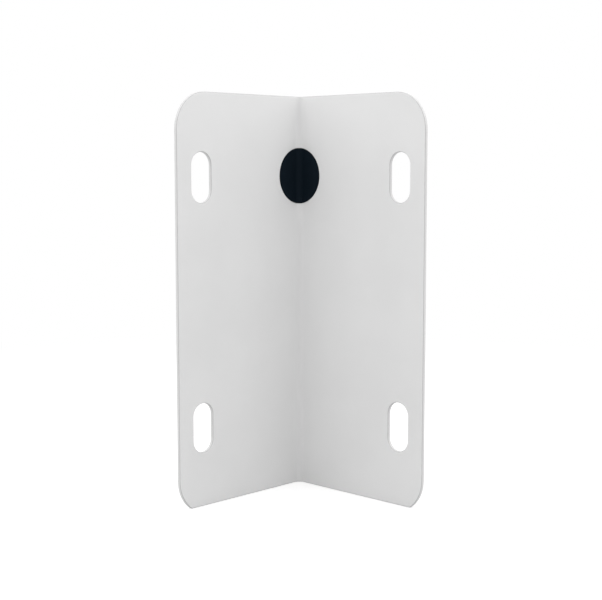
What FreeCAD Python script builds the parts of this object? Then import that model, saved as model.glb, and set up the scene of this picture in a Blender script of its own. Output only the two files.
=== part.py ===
"""Camera corner mount bracket.

One steel sheet is folded at a right angle into two equal leaves that lie on the
two faces of a building's corner. The free corners are rounded, the lower ones
less far round because the foot is trimmed after. Each leaf has two upright slots
near its free edge. One round cable hole is punched in the flat sheet across the
fold line, so it wraps round the fold, and a rubber closure plug is pressed into it.

Frame: Z runs up along the fold. The origin is where the planes of the two wall
faces meet, at the bottom edge. One leaf runs along +X and the other along -Y,
so the walls lie in the space x > 0, y < 0.
"""
import FreeCAD, Part
import math
import os
import Sketcher

# Driving sizes in millimetres, and the fold's angle in degrees, with what each one measures
SIZES = [
    ("plate_height", 210.0, "length of the fold"),
    ("leaf_width", 86.0, "wall corner line to the free edge of a leaf"),
    ("sheet_thickness", 2.0, "steel sheet"),
    ("bend_radius", 3.0, "inner radius of the fold"),
    ("fold_angle", 90.0, "between the wall faces of the two leaves"),
    ("neutral_share", 0.45, "depth of the unstretched layer in the sheet, as a share of it"),
    ("corner_radius", 19.0, "free corners of the leaves"),
    ("foot_trim", 3.7, "cut off the foot of the rounded sheet, so the lower rounds end in a corner"),
    ("slot_width", 13.0, "fixing slot, across"),
    ("slot_length", 25.5, "fixing slot, over its round ends"),
    ("slot_margin", 16.0, "centre line of the slots to the free edge"),
    ("lower_slot_height", 40.5, "bottom edge to the middle of the lower slots"),
    ("slot_spacing", 127.0, "middle of the lower slots to the middle of the upper slots"),
    ("edge_break", 0.3, "bevel that takes the burr off the cut edges"),
    ("hole_diameter", 29.5, "cable hole in the flat sheet"),
    ("hole_drop", 42.0, "top edge to the middle of the cable hole"),
    ("plug_clearance", 0.1, "plug's neck to the wall of the hole, all round"),
    ("plug_seat_gap", 0.05, "plug's flange to the outer face of the sheet"),
    ("plug_recess", 0.05, "plug's front face below the wall faces, so that nothing stands proud"),
    ("flange_overhang", 4.0, "flange's edge beyond the hole, on the outer side"),
    ("flange_thickness", 2.2, "flange on the outer side"),
    ("flange_edge_radius", 1.2, "round edge of the flange"),
]

# Which way each leaf runs from the fold across its own sketch plane
LEAVES = ((1, "x_leaf"), (-1, "y_leaf"))

# Where a round layer is drawn inside the fold, as shares of the half fold from its middle
BEND_SECTIONS = (-1.0, -0.5, 0.0, 0.5, 1.0)

# How one curve of an outline meets the next
CORNER = "Coincident"
SMOOTH = "Tangent"

# Faces that meet within this many degrees run on smoothly, and points this near count as in place
SMOOTH_ANGLE = 5.0
CLOSE = 0.01

# The largest share of a wall that a rounded or bevelled edge may take up
WALL_LIMIT = 0.9

doc = FreeCAD.newDocument("camera_corner_mount")
sheet = doc.addObject("Spreadsheet::Sheet", "Sizes")
for row, (alias, value, meaning) in enumerate(SIZES, start=1):
    sheet.set(f"A{row}", alias)
    sheet.set(f"B{row}", str(value))
    sheet.set(f"C{row}", meaning)
    sheet.setAlias(f"B{row}", alias)
doc.recompute()

# What follows from the driving sizes, as expressions on the sheet, with angles in degrees
HALF_TURN = "((180 - Sizes.fold_angle) / 2)"
TANGENT_LINE = f"(Sizes.bend_radius * tan({HALF_TURN}))"
NEUTRAL_RADIUS = "(Sizes.bend_radius + Sizes.neutral_share * Sizes.sheet_thickness)"
HALF_BEND = f"(pi / 180 * {HALF_TURN} * {NEUTRAL_RADIUS})"
SLOT_LINE = "(Sizes.leaf_width - Sizes.slot_margin)"
SLOT_RADIUS = "(Sizes.slot_width / 2)"
SLOT_REACH = "((Sizes.slot_length - Sizes.slot_width) / 2)"
HOLE_RADIUS = "(Sizes.hole_diameter / 2)"
HOLE_HEIGHT = "(Sizes.plate_height - Sizes.hole_drop)"


def number(expression):
    """The present value of an expression on the sheet."""
    return float(sheet.evalExpression(expression))


def new_body(label):
    body = doc.addObject("PartDesign::Body", label)
    body.Label = label
    return body


def new_sketch(body, name, plane, shift=("0", "0", "0"), turn="0"):
    """A sketch on one of the body's own origin planes, shifted and turned about its upright axis."""
    sketch = body.newObject("Sketcher::SketchObject", name)
    support = [feature for feature in body.Origin.OriginFeatures if feature.Role == plane][0]
    sketch.AttachmentSupport = [(support, "")]
    sketch.MapMode = "FlatFace"
    upright = FreeCAD.Rotation(FreeCAD.Vector(0, 1, 0), number(turn))
    sketch.AttachmentOffset = FreeCAD.Placement(FreeCAD.Vector(0, 0, 0), upright)
    for axis, expression in zip("xyz", shift):
        sketch.setExpression(f".AttachmentOffset.Base.{axis}", expression)
    sketch.setExpression(".AttachmentOffset.Rotation.Angle", turn)
    return sketch


def leaf_sketch(body, name, side, near="0"):
    """A sketch over one leaf, near millimetres behind its wall face, upright on the corner line."""
    if side > 0:
        return new_sketch(body, name, "XZ_Plane", shift=("0", "0", f"-({near})"))
    shift = (f"-({near}) * cos(Sizes.fold_angle)", "0", f"-({near}) * sin(Sizes.fold_angle)")
    return new_sketch(body, name, "YZ_Plane", shift=shift, turn="90 - Sizes.fold_angle")


def bind(sketch, name, expression, kind, *where):
    """Adds a constraint whose size follows an expression on the sheet."""
    size = math.radians(number(expression)) if kind == "Angle" else number(expression)
    index = sketch.addConstraint(Sketcher.Constraint(kind, *where, size))
    sketch.renameConstraint(index, name)
    sketch.setExpression(f"Constraints.{name}", expression)


def bind_across(sketch, name, expression, side, geometry, point):
    """Sets how far a point lies from the sketch's upright axis, on the given side of it."""
    if side > 0:
        bind(sketch, name, expression, "DistanceX", -1, 1, geometry, point)
    else:
        bind(sketch, name, expression, "DistanceX", geometry, point, -1, 1)


def closed_chain(sketch, pieces):
    """Adds curves end to end. Each is (curve, first point, last point, joint to the next)."""
    numbers = [sketch.addGeometry(curve, False) for curve, _, _, _ in pieces]
    for place, (_, _, last, joint) in enumerate(pieces):
        after = (place + 1) % len(pieces)
        first = pieces[after][1]
        sketch.addConstraint(Sketcher.Constraint(joint, numbers[place], last, numbers[after], first))
    return numbers


def line(start, end):
    return Part.LineSegment(FreeCAD.Vector(*start, 0), FreeCAD.Vector(*end, 0))


def arc(centre, radius, start_degrees, end_degrees):
    circle = Part.Circle(FreeCAD.Vector(*centre, 0), FreeCAD.Vector(0, 0, 1), radius)
    return Part.ArcOfCircle(circle, math.radians(start_degrees), math.radians(end_degrees))


def finish_feature(body, feature, sketches):
    """Recomputes, hides the sketches and makes the feature the body's tip."""
    for sketch in sketches:
        sketch.Visibility = False
    body.Tip = feature
    doc.recompute()
    return feature


def pad(body, name, sketch, length):
    feature = body.newObject("PartDesign::Pad", name)
    feature.Profile = sketch
    feature.setExpression("Length", length)
    return finish_feature(body, feature, [sketch])


def pocket_through(body, name, sketch, both_ways=True):
    feature = body.newObject("PartDesign::Pocket", name)
    feature.Profile = sketch
    feature.Type = "ThroughAll"
    feature.Midplane = both_ways
    return finish_feature(body, feature, [sketch])


def dress_edges(body, kind, name, wanted, size):
    """Rounds (kind Fillet) or bevels (kind Chamfer) the edges that wanted(shape, edge) picks out."""
    base = body.Tip
    shape = base.Shape
    picked = [f"Edge{place}" for place, edge in enumerate(shape.Edges, start=1) if wanted(shape, edge)]
    feature = body.newObject(f"PartDesign::{kind}", name)
    feature.Base = (base, picked)
    feature.setExpression("Radius" if kind == "Fillet" else "Size", size)
    return finish_feature(body, feature, [])


def leaf_places(point):
    """For each leaf, how far a point lies from the corner line and behind the leaf's wall face."""
    angle = math.radians(number("Sizes.fold_angle"))
    cosine, sine = math.cos(angle), math.sin(angle)
    return [(point.x, point.y), (point.x * cosine - point.y * sine, -point.x * sine - point.y * cosine)]


def depth(point):
    """How far behind the wall faces of the sheet a point lies, following the fold."""
    radius, tangent = number("Sizes.bend_radius"), number(TANGENT_LINE)
    in_fold = math.hypot(point.x - tangent, point.y + radius) - radius
    on_leaves = [behind for along, behind in leaf_places(point) if along >= tangent]
    return min([in_fold, *on_leaves], key=abs)


def is_sharp(shape, edge):
    """True where the two faces beside an edge meet at an angle, not where they run on smoothly."""
    middle = edge.valueAt((edge.FirstParameter + edge.LastParameter) / 2)
    normals = []
    for face in shape.ancestorsOfType(edge, Part.Face):
        u, v = face.Surface.parameter(middle)
        normals.append(face.normalAt(u, v))
    return len(normals) == 2 and math.degrees(normals[0].getAngle(normals[1])) > SMOOTH_ANGLE


def leaf_round(body, name, side, radius, near, height):
    """The part of a folded round layer that lies on one leaf, bounded by the fold's tangent line."""
    sketch = leaf_sketch(body, name, side, near)
    bend, r, tangent = number(HALF_BEND), number(radius), number(TANGENT_LINE)
    middle = number(height) if height else 0.0
    opening = math.degrees(math.acos(bend / r))
    reach = math.sqrt(r * r - bend * bend)
    facing = 0.0 if side > 0 else 180.0
    curve = arc((side * (tangent - bend), middle), r, facing - opening, facing + opening)
    low, high = (side * tangent, middle - reach), (side * tangent, middle + reach)
    chord = line(high, low) if side > 0 else line(low, high)
    round_edge, straight = closed_chain(sketch, [(curve, 1, 2, CORNER), (chord, 1, 2, CORNER)])
    sketch.addConstraint(Sketcher.Constraint("Vertical", straight))
    bind_across(sketch, "tangent_line", TANGENT_LINE, side, straight, 1)
    ends = (round_edge, 3, straight, 1) if side > 0 else (straight, 1, round_edge, 3)
    bind(sketch, "half_bend", HALF_BEND, "DistanceX", *ends)
    bind(sketch, "radius", radius, "Radius", round_edge)
    if height:
        bind(sketch, "middle", height, "DistanceY", -1, 1, round_edge, 3)
    else:
        sketch.addConstraint(Sketcher.Constraint("PointOnObject", round_edge, 3, -1))
    return sketch


def bend_section(body, name, share, radius, near, far, height):
    """A radial section of the layer inside the fold, at a share of the half fold from its middle."""
    bend_axis = (TANGENT_LINE, "0", "Sizes.bend_radius")
    sketch = new_sketch(body, name, "XZ_Plane", shift=bend_axis, turn=f"90 + {HALF_TURN} * (1 + ({share}))")
    reach = f"sqrt(({radius})^2 - ({share} * {HALF_BEND})^2)"
    inner, outer = f"Sizes.bend_radius + {near}", f"Sizes.bend_radius + {far}"
    middle = number(height) if height else 0.0
    low, high = middle - number(reach), middle + number(reach)
    left, right = number(inner), number(outer)
    corners = [(left, low), (right, low), (right, high), (left, high)]
    sides = [(line(corners[k], corners[(k + 1) % 4]), 1, 2, CORNER) for k in range(4)]
    bottom, outside, top, inside = closed_chain(sketch, sides)
    sketch.addConstraint([Sketcher.Constraint("Horizontal", g) for g in (bottom, top)])
    sketch.addConstraint([Sketcher.Constraint("Vertical", g) for g in (outside, inside)])
    bind(sketch, "inner_radius", inner, "DistanceX", -1, 1, bottom, 1)
    bind(sketch, "outer_radius", outer, "DistanceX", -1, 1, bottom, 2)
    bind(sketch, "whole_reach", f"2 * {reach}", "DistanceY", bottom, 1, top, 2)
    if height:
        bind(sketch, "low_end", f"{height} - {reach}", "DistanceY", -1, 1, bottom, 1)
    else:
        bind(sketch, "low_end", reach, "DistanceY", bottom, 1, -1, 1)
    return sketch


def folded_round(body, name, kind, radius, near, far, height=None):
    """Adds or cuts a layer that is round in the flat sheet and bent round the fold with it.

    near and far are the layer's faces, measured from the wall faces of the sheet. The
    layer's rim stands square to the sheet everywhere, so on the leaves it is part of a
    cylinder, and inside the fold it is radial, with the reach that the unrolled circle
    has at each share of the bend.
    """
    straight_kind = "Pad" if kind == "Additive" else "Pocket"
    for side, leaf in LEAVES:
        sketch = leaf_round(body, f"{name}_outline_{leaf}", side, radius, near, height)
        feature = body.newObject(f"PartDesign::{straight_kind}", f"{name}_{leaf}")
        feature.Profile = sketch
        feature.setExpression("Length", f"({far}) - ({near})")
        feature.Reversed = kind == "Additive"
        finish_feature(body, feature, [sketch])
    sections = [
        bend_section(body, f"{name}_section_{place}", share, radius, near, far, height)
        for place, share in enumerate(BEND_SECTIONS)
    ]
    loft = body.newObject(f"PartDesign::{kind}Loft", f"{name}_fold")
    loft.Profile = sections[0]
    loft.Sections = sections[1:]
    return finish_feature(body, loft, sections)


def folded_blank(body):
    """The sheet as folded: two leaves and the bend between them, with what is trimmed off later."""
    profile = new_sketch(body, "blank_profile", "XY_Plane", shift=("0", "0", "-Sizes.foot_trim"))
    width, bend, thick = (number(f"Sizes.{n}") for n in ("leaf_width", "bend_radius", "sheet_thickness"))
    tangent, fold, turned = number(TANGENT_LINE), number("Sizes.fold_angle"), 2 * number(HALF_TURN)
    cosine, sine = math.cos(math.radians(fold)), math.sin(math.radians(fold))

    def on_y_leaf(along, behind):
        return (along * cosine - behind * sine, -along * sine - behind * cosine)

    outline = [
        (line((width, 0), (tangent, 0)), 1, 2, SMOOTH),
        (arc((tangent, -bend), bend, 90, 90 + turned), 1, 2, SMOOTH),
        (line(on_y_leaf(tangent, 0), on_y_leaf(width, 0)), 1, 2, CORNER),
        (line(on_y_leaf(width, 0), on_y_leaf(width, thick)), 1, 2, CORNER),
        (line(on_y_leaf(width, thick), on_y_leaf(tangent, thick)), 1, 2, SMOOTH),
        (arc((tangent, -bend), bend + thick, 90, 90 + turned), 2, 1, SMOOTH),
        (line((tangent, thick), (width, thick)), 1, 2, CORNER),
        (line((width, thick), (width, 0)), 1, 2, CORNER),
    ]
    x_wall, inner_arc, y_wall, y_end, y_outer, outer_arc, x_outer, x_end = closed_chain(profile, outline)
    profile.addConstraint([Sketcher.Constraint("Horizontal", g) for g in (x_wall, x_outer)])
    profile.addConstraint(Sketcher.Constraint("Vertical", x_end))
    profile.addConstraint(Sketcher.Constraint("PointOnObject", x_wall, 1, -1))
    profile.addConstraint(Sketcher.Constraint("PointOnObject", -1, 1, y_wall))
    profile.addConstraint(Sketcher.Constraint("Perpendicular", y_wall, y_end))
    profile.addConstraint(Sketcher.Constraint("Parallel", y_wall, y_outer))
    bind(profile, "fold_angle", "-Sizes.fold_angle * 1deg", "Angle", y_wall)
    bind(profile, "bend_radius", "Sizes.bend_radius", "Radius", inner_arc)
    bind(profile, "outer_bend_radius", "Sizes.bend_radius + Sizes.sheet_thickness", "Radius", outer_arc)
    bind(profile, "x_thickness", "Sizes.sheet_thickness", "Distance", x_end)
    bind(profile, "y_thickness", "Sizes.sheet_thickness", "Distance", y_end)
    bind(profile, "x_width", "Sizes.leaf_width", "DistanceX", -1, 1, x_wall, 1)
    bind(profile, "y_width", "Sizes.leaf_width", "Distance", -1, 1, y_wall, 2)
    return pad(body, "folded_blank", profile, "Sizes.plate_height + Sizes.foot_trim")


def slot_sketch(body, name, side):
    """One upright slot with round ends, the lower one of a leaf."""
    sketch = leaf_sketch(body, name, side)
    across, up = side * number(SLOT_LINE), number("Sizes.lower_slot_height")
    r, reach = number(SLOT_RADIUS), number(SLOT_REACH)
    outline = [
        (arc((across, up + reach), r, 0, 180), 1, 2, SMOOTH),
        (line((across - r, up + reach), (across - r, up - reach)), 1, 2, SMOOTH),
        (arc((across, up - reach), r, 180, 360), 1, 2, SMOOTH),
        (line((across + r, up - reach), (across + r, up + reach)), 1, 2, SMOOTH),
    ]
    top, left, bottom, _ = closed_chain(sketch, outline)
    sketch.addConstraint(Sketcher.Constraint("Vertical", left))
    bind(sketch, "end_radius", SLOT_RADIUS, "Radius", top)
    sketch.addConstraint(Sketcher.Constraint("Equal", top, bottom))
    bind_across(sketch, "slot_line", SLOT_LINE, side, top, 3)
    bind(sketch, "centres", "Sizes.slot_length - Sizes.slot_width", "DistanceY", bottom, 3, top, 3)
    bind(sketch, "low_centre", f"Sizes.lower_slot_height - {SLOT_REACH}", "DistanceY", -1, 1, bottom, 3)
    return sketch


def round_free_corners(body):
    """Rounds the four free corners of the leaves."""
    width = number("Sizes.leaf_width")

    def is_free_corner(_, edge):
        """True for a level edge through the sheet's thickness, at the free edge of a leaf."""
        start, end = edge.Vertexes[0].Point, edge.Vertexes[-1].Point
        through = abs(depth(start) - depth(end)) > CLOSE
        return through and max(along for along, _ in leaf_places(start)) > width - CLOSE

    dress_edges(body, "Fillet", "free_corners", is_free_corner, "Sizes.corner_radius")


def trim_foot(body):
    """Cuts the rounded sheet to its final height, square across the foot of both leaves."""
    sketch = new_sketch(body, "foot_outline", "XY_Plane")
    reach = "Sizes.leaf_width + Sizes.sheet_thickness"
    around = sketch.addGeometry(Part.Circle(FreeCAD.Vector(), FreeCAD.Vector(0, 0, 1), number(reach)), False)
    sketch.addConstraint(Sketcher.Constraint("Coincident", around, 3, -1, 1))
    bind(sketch, "reach", reach, "Radius", around)
    return pocket_through(body, "foot_cut", sketch, both_ways=False)


def fixing_slots(body):
    """The lower slot of each leaf, repeated once up the leaf."""
    cuts = [
        pocket_through(body, f"lower_slot_{leaf}", slot_sketch(body, f"slot_outline_{leaf}", side))
        for side, leaf in LEAVES
    ]
    pattern = body.newObject("PartDesign::LinearPattern", "slot_pairs")
    pattern.Originals = cuts
    upward = [feature for feature in body.Origin.OriginFeatures if feature.Role == "Z_Axis"][0]
    pattern.Direction = (upward, [""])
    pattern.Occurrences = 2
    pattern.setExpression("Length", "Sizes.slot_spacing")
    return finish_feature(body, pattern, [])


def make_corner_plate():
    body = new_body("corner_plate")
    folded_blank(body)
    round_free_corners(body)
    trim_foot(body)
    fixing_slots(body)
    folded_round(body, "cable_hole", "Subtractive", HOLE_RADIUS, "0", "Sizes.sheet_thickness",
                 height=HOLE_HEIGHT)
    burr_bevel = f"min(Sizes.edge_break; {WALL_LIMIT} / 2 * Sizes.sheet_thickness)"
    dress_edges(body, "Chamfer", "broken_edges", is_sharp, burr_bevel)
    return body


def make_hole_plug():
    """The rubber plug, in its own frame with the origin at the height of the hole's middle."""
    body = new_body("cable_hole_plug")
    front_face = "Sizes.plug_recess"
    flange_seat = "Sizes.sheet_thickness + Sizes.plug_seat_gap"
    flange_face = f"{flange_seat} + Sizes.flange_thickness"
    folded_round(body, "neck", "Additive", f"{HOLE_RADIUS} - Sizes.plug_clearance", front_face, flange_seat)
    flange_radius = f"{HOLE_RADIUS} + Sizes.flange_overhang"
    folded_round(body, "flange", "Additive", flange_radius, flange_seat, flange_face)
    outermost = number(flange_face)

    def is_outer_rim(shape, edge):
        on_outer_face = all(abs(depth(vertex.Point) - outermost) < CLOSE for vertex in edge.Vertexes)
        return on_outer_face and is_sharp(shape, edge)

    rim_radius = f"min(Sizes.flange_edge_radius; {WALL_LIMIT} * Sizes.flange_thickness)"
    dress_edges(body, "Fillet", "flange_edge", is_outer_rim, rim_radius)
    body.setExpression(".Placement.Base.z", HOLE_HEIGHT)
    doc.recompute()
    return body


def check_and_export(bodies):
    broken = [f"{item.Name} {item.State}" for item in doc.Objects if {"Invalid", "Error"} & set(item.State)]
    if broken:
        raise RuntimeError("failed features: " + ", ".join(broken))
    os.makedirs("parts", exist_ok=True)
    for body in bodies:
        shape = body.Shape
        if shape.isNull() or not shape.isValid() or len(shape.Solids) != 1:
            raise RuntimeError(f"{body.Label} is not one valid solid")
        shape.exportStep(f"parts/{body.Label}.step")
        box = shape.optimalBoundingBox()
        extents = " x ".join(f"{length:.2f}" for length in (box.XLength, box.YLength, box.ZLength))
        print(f"{body.Label}: {shape.Volume:.1f} mm3, {extents} mm")


check_and_export([make_corner_plate(), make_hole_plug()])
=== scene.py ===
"""Looks of the camera corner mount bracket: coat, rubber, floor, studio light and camera.

Lengths are in metres, in the frame of the bracket's solids: Z runs up along the fold, one
leaf runs along +X and the other along -Y, and the fold opens towards +X and -Y. Lamps
and camera are placed in the frame of someone who looks straight into the open fold:
to the right, away from the viewer, and up.
"""
import math
import bpy
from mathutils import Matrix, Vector


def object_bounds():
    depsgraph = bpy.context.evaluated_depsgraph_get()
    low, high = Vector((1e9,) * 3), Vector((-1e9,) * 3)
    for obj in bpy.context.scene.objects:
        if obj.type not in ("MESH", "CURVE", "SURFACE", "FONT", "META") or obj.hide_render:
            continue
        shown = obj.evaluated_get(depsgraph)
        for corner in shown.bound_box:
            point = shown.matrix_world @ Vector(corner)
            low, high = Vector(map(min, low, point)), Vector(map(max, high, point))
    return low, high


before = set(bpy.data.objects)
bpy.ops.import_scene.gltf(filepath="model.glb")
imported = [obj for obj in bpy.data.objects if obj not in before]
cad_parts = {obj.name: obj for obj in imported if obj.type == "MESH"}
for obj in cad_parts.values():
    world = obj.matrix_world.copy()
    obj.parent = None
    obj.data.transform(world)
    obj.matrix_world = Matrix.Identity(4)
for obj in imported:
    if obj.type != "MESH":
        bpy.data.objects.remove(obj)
cad_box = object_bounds()

MM = 0.001

# The viewer's frame, halfway between the two leaves
DIAGONAL = math.sqrt(0.5)
RIGHT = Vector((DIAGONAL, DIAGONAL, 0.0))
AWAY = Vector((-DIAGONAL, DIAGONAL, 0.0))
UP = Vector((0.0, 0.0, 1.0))
FACING_FOLD = math.radians(45.0)

# Sheet sizes that the painted shade on the coat follows
BEND_RADIUS = 3.0 * MM
SHEET_THICKNESS = 2.0 * MM
EDGE_BREAK = 0.30 * MM

# Where painted shade darkens the coat: onto a cut edge, onto its bevel and past it, all by the depth from
# the nearer face of the sheet, and into the bend
CUT_BLEND = (0.0, EDGE_BREAK)
BEVEL_START = (0.0, 0.10 * MM)
BEVEL_END = (EDGE_BREAK, 0.42 * MM)
BEND_BLEND = (0.0, 2.0 * MM)

# Greys of the coat: darkest and lightest clouds on the leaves; painted shade in the fold's hollow, on cut
# edges, on bevels
LEAF_GREYS = (0.745, 0.765)
HOLLOW_PAINTED_SHADE_GREY = 0.70
CUT_EDGE_PAINTED_SHADE_GREY = 0.70
BEVEL_PAINTED_SHADE_GREY = 0.52

# Grain of the coat: scale of the clouds, of the fine peel and of the slower drift under it, the drift's
# height against the peel's, strength and height of their relief, and roughness
CLOUD_SCALE = 28.0
PEEL_SCALE = 1100.0
DRIFT_SCALE = 260.0
DRIFT_SHARE = 1.6
PEEL_RELIEF = (0.22, 0.03 * MM)
COAT_ROUGHNESS = (0.46, 0.54)

# Rubber: darkest and lightest clouds, their scale, the scale of the mould's grain, strength and height
# of its relief, roughness and gloss
RUBBER_TONES = ((0.0026, 0.0067, 0.0115, 1.0), (0.0034, 0.0077, 0.0127, 1.0))
RUBBER_CLOUD_SCALE = 90.0
GRAIN_SCALE = 2600.0
GRAIN_RELIEF = (0.3, 0.02 * MM)
RUBBER_ROUGHNESS = (0.66, 0.78)
RUBBER_GLOSS = 0.08

# The range in which nearly all values of a noise lie
NOISE_SPAN = (0.3, 0.7)

# Camera, from the photograph's vanishing lines: sizes in millimetres, place and turns in the
# viewer's frame, turns in radians
SENSOR_WIDTH = 36.0
FOCAL_LENGTH = 74.55
CAMERA_PLACE = (-10.96 * MM, -675.03 * MM, 172.84 * MM)
CAMERA_TURN_RIGHT = 0.01771
CAMERA_TURN_DOWN = 0.10648
CAMERA_REACH = (0.01, 100.0)

# Soft lamps round the bracket, aimed at half its height: name, degrees to the right of the
# viewer's line, degrees above the floor's level, width, height, watts
LAMP_TARGET = (0.0, 0.0, (cad_box[0][2] + cad_box[1][2]) / 2)
LAMP_DISTANCE = 1.2
LAMPS = [
    ("key_left", -50.0, 42.0, 0.70, 0.70, 2.9),
    ("key_right", 50.0, 42.0, 0.70, 0.70, 2.9),
    ("side_left", -97.0, 30.0, 0.70, 0.60, 1.35),
    ("side_right", 97.0, 30.0, 0.70, 0.60, 1.45),
    ("overhead", 0.0, 70.0, 0.70, 0.70, 0.4),
]
WORLD_LIGHT = 0.84

# Floor: its grey, what is added to it where it is seen, where it fades to white, its side and
# roughness, and how far under the foot it lies
FLOOR_SHADE = 0.60
FLOOR_LIFT = 0.50
FLOOR_FADE = (0.25, 0.60)
FLOOR_SIZE = 6.0
FLOOR_ROUGHNESS = 0.9
FLOOR_DROP = 0.1 * MM


def from_viewer(place):
    """A place in the viewer's frame, as a place in the model's frame."""
    return RIGHT * place[0] + AWAY * place[1] + UP * place[2]


def grey(level):
    return (level, level, level, 1.0)


class Nodes:
    """Short ways of adding and joining the nodes of one tree."""

    def __init__(self, tree):
        self.tree = tree
        self.tree.nodes.clear()

    def add(self, kind, **settings):
        node = self.tree.nodes.new(kind)
        for name, value in settings.items():
            setattr(node, name, value)
        return node

    def join(self, source, target):
        self.tree.links.new(source, target)

    def put(self, source, target):
        """Joins a socket, or sets a plain value."""
        if isinstance(source, bpy.types.NodeSocket):
            self.join(source, target)
        else:
            target.default_value = source

    def math(self, operation, *values):
        node = self.add("ShaderNodeMath", operation=operation)
        for value, socket in zip(values, node.inputs):
            self.put(value, socket)
        return node.outputs[0]

    def ramp(self, value, low, high, to_low=0.0, to_high=1.0):
        """Smooth step of a value from one range to another."""
        node = self.add("ShaderNodeMapRange", interpolation_type="SMOOTHSTEP")
        for source, name in ((value, "Value"), (low, "From Min"), (high, "From Max"),
                             (to_low, "To Min"), (to_high, "To Max")):
            self.put(source, node.inputs[name])
        return node.outputs["Result"]

    def noise(self, coordinates, scale, detail):
        node = self.add("ShaderNodeTexNoise")
        self.join(coordinates, node.inputs["Vector"])
        node.inputs["Scale"].default_value = scale
        node.inputs["Detail"].default_value = detail
        return node.outputs[0]

    def relief(self, height, strength, distance):
        """Fine relief, as the normal that a shader takes."""
        node = self.add("ShaderNodeBump")
        node.inputs["Strength"].default_value = strength
        node.inputs["Distance"].default_value = distance
        self.join(height, node.inputs["Height"])
        return node.outputs["Normal"]

    def mix(self, factor, first, second):
        """Blend of two colours."""
        node = self.add("ShaderNodeMix", data_type="RGBA")
        self.put(factor, self.socket(node.inputs, "Factor_Float"))
        self.put(first, self.socket(node.inputs, "A_Color"))
        self.put(second, self.socket(node.inputs, "B_Color"))
        return self.socket(node.outputs, "Result_Color")

    @staticmethod
    def socket(sockets, identifier):
        """The socket of this kind, where a node has several of one name."""
        return [socket for socket in sockets if socket.identifier == identifier][0]

    def choose(self, factor, first, second):
        """Blend of two shaders."""
        node = self.add("ShaderNodeMixShader")
        self.join(factor, node.inputs[0])
        self.join(first.outputs[0], node.inputs[1])
        self.join(second.outputs[0], node.inputs[2])
        return node

    def surface(self, tone, roughness, normal):
        """The shader of a piece of the bracket, joined to the material's output."""
        shader = self.add("ShaderNodeBsdfPrincipled")
        self.join(tone, shader.inputs["Base Color"])
        self.join(roughness, shader.inputs["Roughness"])
        self.join(normal, shader.inputs["Normal"])
        self.show(shader, "ShaderNodeOutputMaterial")
        return shader

    def show(self, shader, output):
        """Joins a shader to the output of its material or world."""
        self.join(shader.outputs[0], self.add(output).inputs["Surface"])


def new_material(name):
    material = bpy.data.materials.new(name)
    material.use_nodes = True
    return material, Nodes(material.node_tree)


def place_in_sheet(n, place):
    """How far behind the wall faces a point of the sheet lies, and how far inside the bend."""
    axes = n.add("ShaderNodeSeparateXYZ")
    n.join(place, axes.inputs[0])
    across_x = n.math("MAXIMUM", n.math("SUBTRACT", BEND_RADIUS, axes.outputs["X"]), 0.0)
    across_y = n.math("MAXIMUM", n.math("ADD", axes.outputs["Y"], BEND_RADIUS), 0.0)
    squares = n.math("ADD", n.math("POWER", across_x, 2.0), n.math("POWER", across_y, 2.0))
    depth = n.math("SUBTRACT", n.math("SQRT", squares), BEND_RADIUS)
    return depth, n.math("MINIMUM", across_x, across_y)


def powder_coat():
    """Pale satin powder coat with fine orange peel, and painted shade darkening the fold's hollow, the cut
    edges and a line along their bevels.
    """
    material, n = new_material("satin_powder_coat")
    place = n.add("ShaderNodeTexCoord").outputs["Object"]
    depth, into_bend = place_in_sheet(n, place)
    from_face = n.math("MINIMUM", depth, n.math("SUBTRACT", SHEET_THICKNESS, depth))
    # Painted shade: the cut edges are greyed darker than the leaves' faces
    painted_cut_shade = n.ramp(from_face, *CUT_BLEND)
    # Painted shade: a darker line along the bevel of each cut edge
    painted_bevel_shade = n.math("MULTIPLY", n.ramp(from_face, *BEVEL_START), n.ramp(from_face, *BEVEL_END, 1.0, 0.0))
    # Painted shade: a darker strip in the fold's hollow
    painted_hollow_shade = n.math("MULTIPLY", n.ramp(into_bend, *BEND_BLEND), n.ramp(depth, *CUT_BLEND, 1.0, 0.0))

    clouds = n.noise(place, CLOUD_SCALE, detail=3.0)
    coat = n.mix(n.ramp(clouds, *NOISE_SPAN), grey(LEAF_GREYS[0]), grey(LEAF_GREYS[1]))
    # Painted shade laid on the coat: in the fold's hollow, on cut edges and on their bevels
    coat = n.mix(painted_hollow_shade, coat, grey(HOLLOW_PAINTED_SHADE_GREY))
    coat = n.mix(painted_cut_shade, coat, grey(CUT_EDGE_PAINTED_SHADE_GREY))
    coat = n.mix(painted_bevel_shade, coat, grey(BEVEL_PAINTED_SHADE_GREY))

    peel = n.noise(place, PEEL_SCALE, detail=1.5)
    drift = n.noise(place, DRIFT_SCALE, detail=1.0)
    height = n.math("ADD", peel, n.math("MULTIPLY", drift, DRIFT_SHARE))
    n.surface(coat, n.ramp(peel, *NOISE_SPAN, *COAT_ROUGHNESS), n.relief(height, *PEEL_RELIEF))
    return material


def black_rubber():
    """Matt moulded rubber, blue-black, with the fine grain of the mould."""
    material, n = new_material("matt_black_rubber")
    place = n.add("ShaderNodeTexCoord").outputs["Object"]
    clouds = n.noise(place, RUBBER_CLOUD_SCALE, detail=3.0)
    tone = n.mix(n.ramp(clouds, *NOISE_SPAN), *RUBBER_TONES)
    grain = n.noise(place, GRAIN_SCALE, detail=2.0)
    roughness = n.ramp(grain, *NOISE_SPAN, *RUBBER_ROUGHNESS)
    shader = n.surface(tone, roughness, n.relief(grain, *GRAIN_RELIEF))
    shader.inputs["Specular IOR Level"].default_value = RUBBER_GLOSS
    return material


def seen_or_mirrored(n):
    """1 where a ray comes from the camera, a gloss or a glass, 0 where it is light on a matt surface."""
    path = n.add("ShaderNodeLightPath").outputs
    mirrored = n.math("MAXIMUM", path["Is Glossy Ray"], path["Is Transmission Ray"])
    return n.math("MAXIMUM", path["Is Camera Ray"], mirrored)


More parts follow.
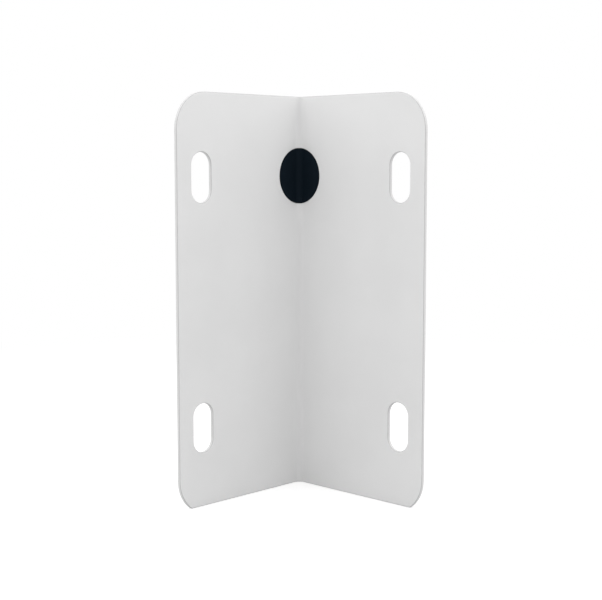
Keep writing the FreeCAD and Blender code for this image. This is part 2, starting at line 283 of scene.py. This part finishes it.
def floor_material():
    """Pale matt floor that looks white where it is lit and keeps the shadow of the bracket.

    Further away it is plain white to the camera, as the world is, so no horizon shows.
    """
    material, n = new_material("pale_floor")
    matt = n.add("ShaderNodeBsdfPrincipled")
    matt.inputs["Base Color"].default_value = grey(FLOOR_SHADE)
    matt.inputs["Roughness"].default_value = FLOOR_ROUGHNESS
    matt.inputs["Specular IOR Level"].default_value = 0.0
    seen = seen_or_mirrored(n)
    glow = n.add("ShaderNodeEmission")
    n.join(n.math("MULTIPLY", seen, FLOOR_LIFT), glow.inputs["Strength"])
    near = n.add("ShaderNodeAddShader")
    n.join(matt.outputs[0], near.inputs[0])
    n.join(glow.outputs[0], near.inputs[1])

    from_fold = n.add("ShaderNodeVectorMath", operation="LENGTH")
    n.join(n.add("ShaderNodeTexCoord").outputs["Object"], from_fold.inputs[0])
    far = n.ramp(from_fold.outputs["Value"], *FLOOR_FADE)
    white = n.add("ShaderNodeEmission")
    n.show(n.choose(n.math("MULTIPLY", seen, far), near, white), "ShaderNodeOutputMaterial")
    return material


def make_world():
    """Even light from all round, and plain white where the camera sees past the floor."""
    world = bpy.data.worlds.new("studio")
    world.use_nodes = True
    bpy.context.scene.world = world
    n = Nodes(world.node_tree)
    light = n.add("ShaderNodeBackground")
    white = n.add("ShaderNodeBackground")
    for background, strength in ((light, WORLD_LIGHT), (white, 1.0)):
        background.inputs["Color"].default_value = grey(1.0)
        background.inputs["Strength"].default_value = strength
    n.show(n.choose(seen_or_mirrored(n), light, white), "ShaderNodeOutputWorld")


def make_floor():
    half = FLOOR_SIZE / 2
    mesh = bpy.data.meshes.new("floor")
    corners = [(-half, -half, 0), (half, -half, 0), (half, half, 0), (-half, half, 0)]
    mesh.from_pydata(corners, [], [(0, 1, 2, 3)])
    mesh.materials.append(floor_material())
    floor = bpy.data.objects.new("floor", mesh)
    floor.location.z = -FLOOR_DROP
    bpy.context.scene.collection.objects.link(floor)


def make_lamps():
    target = from_viewer(LAMP_TARGET)
    for name, turn, climb, width, height, watts in LAMPS:
        lamp = bpy.data.lights.new(name, "AREA")
        lamp.shape = "RECTANGLE"
        lamp.size = width
        lamp.size_y = height
        lamp.energy = watts
        around, up = math.radians(turn), math.radians(climb)
        level = math.cos(up)
        towards = from_viewer((math.sin(around) * level, -math.cos(around) * level, math.sin(up)))
        holder = bpy.data.objects.new(name, lamp)
        holder.location = target + towards * LAMP_DISTANCE
        holder.rotation_euler = (-towards).to_track_quat("-Z", "Y").to_euler()
        bpy.context.scene.collection.objects.link(holder)


def make_camera():
    camera = bpy.data.cameras.new("camera")
    camera.sensor_width = SENSOR_WIDTH
    camera.lens = FOCAL_LENGTH
    camera.clip_start, camera.clip_end = CAMERA_REACH
    holder = bpy.data.objects.new("camera", camera)
    holder.location = from_viewer(CAMERA_PLACE)
    holder.rotation_euler = (math.pi / 2 - CAMERA_TURN_DOWN, 0.0, FACING_FOLD - CAMERA_TURN_RIGHT)
    bpy.context.scene.collection.objects.link(holder)
    bpy.context.scene.camera = holder


make_camera()
for node, material in (("corner_plate", powder_coat()), ("cable_hole_plug", black_rubber())):
    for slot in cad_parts[node].material_slots:
        slot.material = material
make_floor()
make_world()
make_lamps()
bpy.context.scene.view_settings.view_transform = "Standard"
